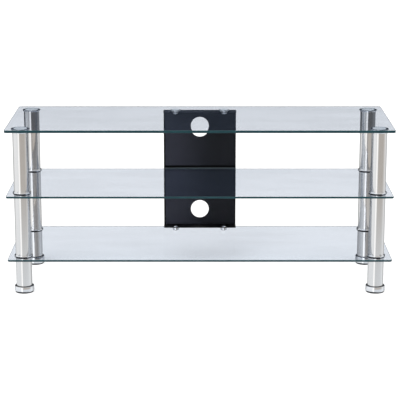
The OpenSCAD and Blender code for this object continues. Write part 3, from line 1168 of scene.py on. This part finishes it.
@dataclass
class Studio:
    """A pale floor, a white room with darker stretches for the metal to mirror, soft lamps and
    the camera. Lengths in metres, angles in degrees.

    Each row of a ring of tones is an azimuth, a brightness, and the share by which red stands
    above and blue below it. Spans of height are sines of elevation, and spans of turn are
    shares of the whole turn.
    """

    EYE_LEVEL: ClassVar[Rows] = (
        (-180, 0.4, 0.0), (-143, 0.42, -0.01), (-128, 0.62, -0.02), (-105, 1.0, -0.02),
        (-45, 1.0, -0.02), (-38, 0.81, -0.02), (-33, 1.25, 0.0), (-18, 1.25, 0.0),
        (-12, 0.65, 0.03), (-5, 0.5, 0.07), (60, 0.5, 0.07), (76, 0.65, 0.03),
        (100, 0.9, -0.01), (126, 0.62, -0.02), (150, 0.45, -0.03), (180, 0.4, 0.0),
    )
    NEAR_FLOOR: ClassVar[Rows] = (
        (-180, 0.55, -0.02), (-143, 0.55, -0.02), (-128, 0.92, -0.035), (-38, 0.92, -0.035),
        (-33, 1.25, -0.01), (-18, 1.25, -0.01), (-12, 0.79, -0.045), (50, 0.82, -0.05),
        (76, 0.86, -0.05), (108, 0.96, -0.03), (126, 0.55, -0.02), (180, 0.55, -0.02),
    )
    PAST_GLASS: ClassVar[Rows] = (
        (-180, 0.1, -0.03), (-128, 0.12, -0.03), (-112, 0.2, -0.03), (-96, 1.1, -0.02),
        (-60, 0.95, -0.02), (-31, 0.7, -0.02), (-25, 1.8, 0.0), (-8, 1.8, 0.0),
        (0, 0.22, 0.04), (12, 0.155, 0.05), (67, 0.165, 0.02), (90, 0.26, 0.0),
        (120, 0.3, -0.02), (140, 0.5, -0.03), (180, 0.3, -0.03),
    )
    LOW_PAST_GLASS: ClassVar[Rows] = (
        (-180, 0.45, -0.02), (-130, 0.5, -0.02), (-100, 0.65, -0.02), (-60, 0.85, -0.02),
        (-31, 0.95, -0.01), (-25, 2.0, 0.0), (-8, 2.0, 0.0), (0, 0.75, 0.03),
        (21, 0.48, 0.06), (45, 0.4, 0.05), (71, 0.75, 0.0), (95, 0.9, -0.03),
        (115, 0.7, -0.03), (143, 0.75, -0.02), (180, 0.45, -0.02),
    )
    LAMPS: ClassVar[tuple[tuple[str, Triple, float], ...]] = (
        ("key_sun", (-0.55, -0.8, 1.3), 1.1),
        ("fill_sun", (0.9, -0.6, 1.2), 0.45),
    )

    eye: Triple = (0.0006, -4.8515, 1.4332)
    pitch: float = 13.63
    lens: float = 139.15
    sensor: float = 36.0
    lamp_spread: float = 50.0
    room_light: float = 0.82
    floor_half: float = 30.0
    floor_drop: float = 0.0002
    low_height: Pair = (-0.29, -0.22)
    low_height_past_glass: Pair = (-0.215, -0.195)
    under_height: Pair = (-0.75, -0.42)
    under_tone: Colour = (0.055, 0.055, 0.06)
    under_past_all: Colour = (0.9, 0.9, 0.92)
    all_panes: Pair = (4.4, 4.6)
    open_turn: Pair = (0.68, 0.73)
    shut_turn: Pair = (0.85, 0.89)
    wall_turn: Pair = (0.356, 0.397)
    wall_height: Pair = (0.0, 0.12)
    wall_tone: Colour = (0.03, 0.035, 0.045)
    ceiling_height: Pair = (0.3, 0.65)

    def build(self) -> None:
        """Makes the camera, the room, the floor and the lamps."""
        bpy.context.scene.view_settings.view_transform = "Standard"
        self.camera()
        self.room()
        self.floor()
        for name, way, strength in self.LAMPS:
            self.sun(name, way, strength)

    def camera(self) -> None:
        """Makes the camera at the photograph's viewing angle."""
        data = bpy.data.cameras.new("camera")
        data.sensor_width = self.sensor
        data.lens = self.lens
        camera = placed("camera", data)
        camera.location = self.eye
        camera.rotation_euler = (math.radians(90 - self.pitch), 0.0, 0.0)
        bpy.context.scene.camera = camera
        log.info("camera at %s, lens %.1f mm", self.eye, self.lens)

    def sun(self, name: str, way: Triple, strength: float) -> None:
        """Adds a broad soft light, unseen in metal and glass.

        Args:
            name: the lamp's name.
            way: the direction that it comes from.
            strength: irradiance square to it, in watts per square metre.
        """
        data = bpy.data.lights.new(name, "SUN")
        data.energy = strength
        data.angle = math.radians(self.lamp_spread)
        lamp = placed(name, data)
        lamp.location = way
        lamp.rotation_euler = Vector(way).to_track_quat("Z", "Y").to_euler()
        lamp.visible_camera = lamp.visible_glossy = lamp.visible_transmission = False
        log.info("%s made", name)

    def floor(self) -> None:
        """Makes the floor, which metal doesn't mirror."""
        corners = self.floor_half * np.array([[-1, -1], [1, -1], [1, 1], [-1, 1]], float)
        points = np.column_stack([corners, np.full(4, -self.floor_drop)]) / MILLIMETRE
        sheet = Surface(points, np.arange(4)[None, :], np.empty((0, 3), int))
        floor = make_piece("floor", sheet, FLOOR)
        floor.visible_glossy = False
        log.info("floor made")

    @staticmethod
    def ring_of_tones(graph: Graph, turn: Term, bands: Rows) -> Term:
        """Tones all round the room, each fading into the next.

        Args:
            graph: the world's graph.
            turn: azimuth as a share of the whole turn, 0.5 in front of the stand.
            bands: rows of azimuth, brightness and warmth.

        Returns:
            The colour.
        """
        stops = [
            (0.5 + angle / 360, (level * (1 + warmth), level, level * (1 - warmth)))
            for angle, level, warmth in bands
        ]
        return graph.term("ValToRGB", {0: turn}, {"stops": stops})

    def tones(self, graph: Graph) -> Term:
        """What bright metal mirrors: upright stretches of white, warm grey and dark.

        A direction's azimuth is the angle whose tangent is x / -y, so 0 lies in front of the
        stand and 90 to its right. Its sine of elevation is z. One ring of tones lies at eye
        level and one near the floor, where all is paler, and two more hold what metal mirrors
        where glass lies between. Straight down lies the shade under the stand, open on one
        side and pale past all three shelves, behind the stand a dark wall above the horizon,
        and overhead a pale ceiling.

        Args:
            graph: the world's graph.

        Returns:
            The colour.
        """
        way = graph.term("TexCoord", output="Generated")
        x, y, z = (graph.axis(way, letter) for letter in "XYZ")
        turn = x.angle_from(-1.0 * y) / (2 * math.pi) + 0.5
        panes = graph.ray("Transmission Depth")
        rings = (self.EYE_LEVEL, self.NEAR_FLOOR, self.PAST_GLASS, self.LOW_PAST_GLASS)
        high, low, high_past, low_past = (
            self.ring_of_tones(graph, turn, bands) for bands in rings
        )
        tones = graph.mixed(z.fade(*self.low_height), high, low)
        beyond = graph.mixed(z.fade(*self.low_height_past_glass), high_past, low_past)
        tones = graph.mixed(panes.at_most(1.0), tones, beyond)
        open_side = turn.ease(*self.open_turn) * turn.fade(*self.shut_turn)
        under = z.fade(*self.under_height) * (1.0 - open_side)
        shade = graph.mixed(panes.ease(*self.all_panes), self.under_tone, self.under_past_all)
        tones = graph.mixed(under, tones, shade)
        behind = abs(turn - 0.5).ease(*self.wall_turn) * z.ease(*self.wall_height)
        tones = graph.mixed(behind, tones, self.wall_tone)
        return graph.mixed(z.ease(*self.ceiling_height), tones, WHITE)

    def room(self) -> None:
        """Makes the world: white to the lens, plain to matte surfaces, toned to metal."""
        world = bpy.data.worlds.new("room")
        world.use_nodes = True
        bpy.context.scene.world = world
        graph = Graph(world.node_tree)
        mirrored, scattered = (
            graph.ray(name).at_most(1.0) for name in ("Glossy Depth", "Diffuse Depth")
        )
        direct = 1.0 - scattered
        straight = (1.0 - mirrored) * direct
        through = graph.ray("Is Transmission Ray") * straight
        seen = (graph.ray("Is Camera Ray") + through).at_most(1.0)
        plain = scaled(WHITE, self.room_light)
        light = graph.mixed(mirrored * direct, plain, self.tones(graph))
        light = graph.mixed(seen, light, WHITE)
        lamp = graph.add("Background", {"Color": light})
        graph.show(lamp, "OutputWorld")
        log.info("room made")


def main() -> None:
    """Loads the frame, builds the stand piece by piece, and sets up the studio."""
    logging.basicConfig(level=logging.INFO, format="%(name)s: %(message)s")
    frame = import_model()
    parts: list[SubAssembly] = [Shelves(frame)]
    parts += [Post(frame, corner) for corner in Corner]
    parts += [LevellingFoot(frame, corner) for corner in Corner]
    parts.append(CablePanel(frame))
    for part in parts:
        part.build()
        log.info("%s complete", type(part).__name__)
    Studio().build()


if __name__ == "__main__":
    main()
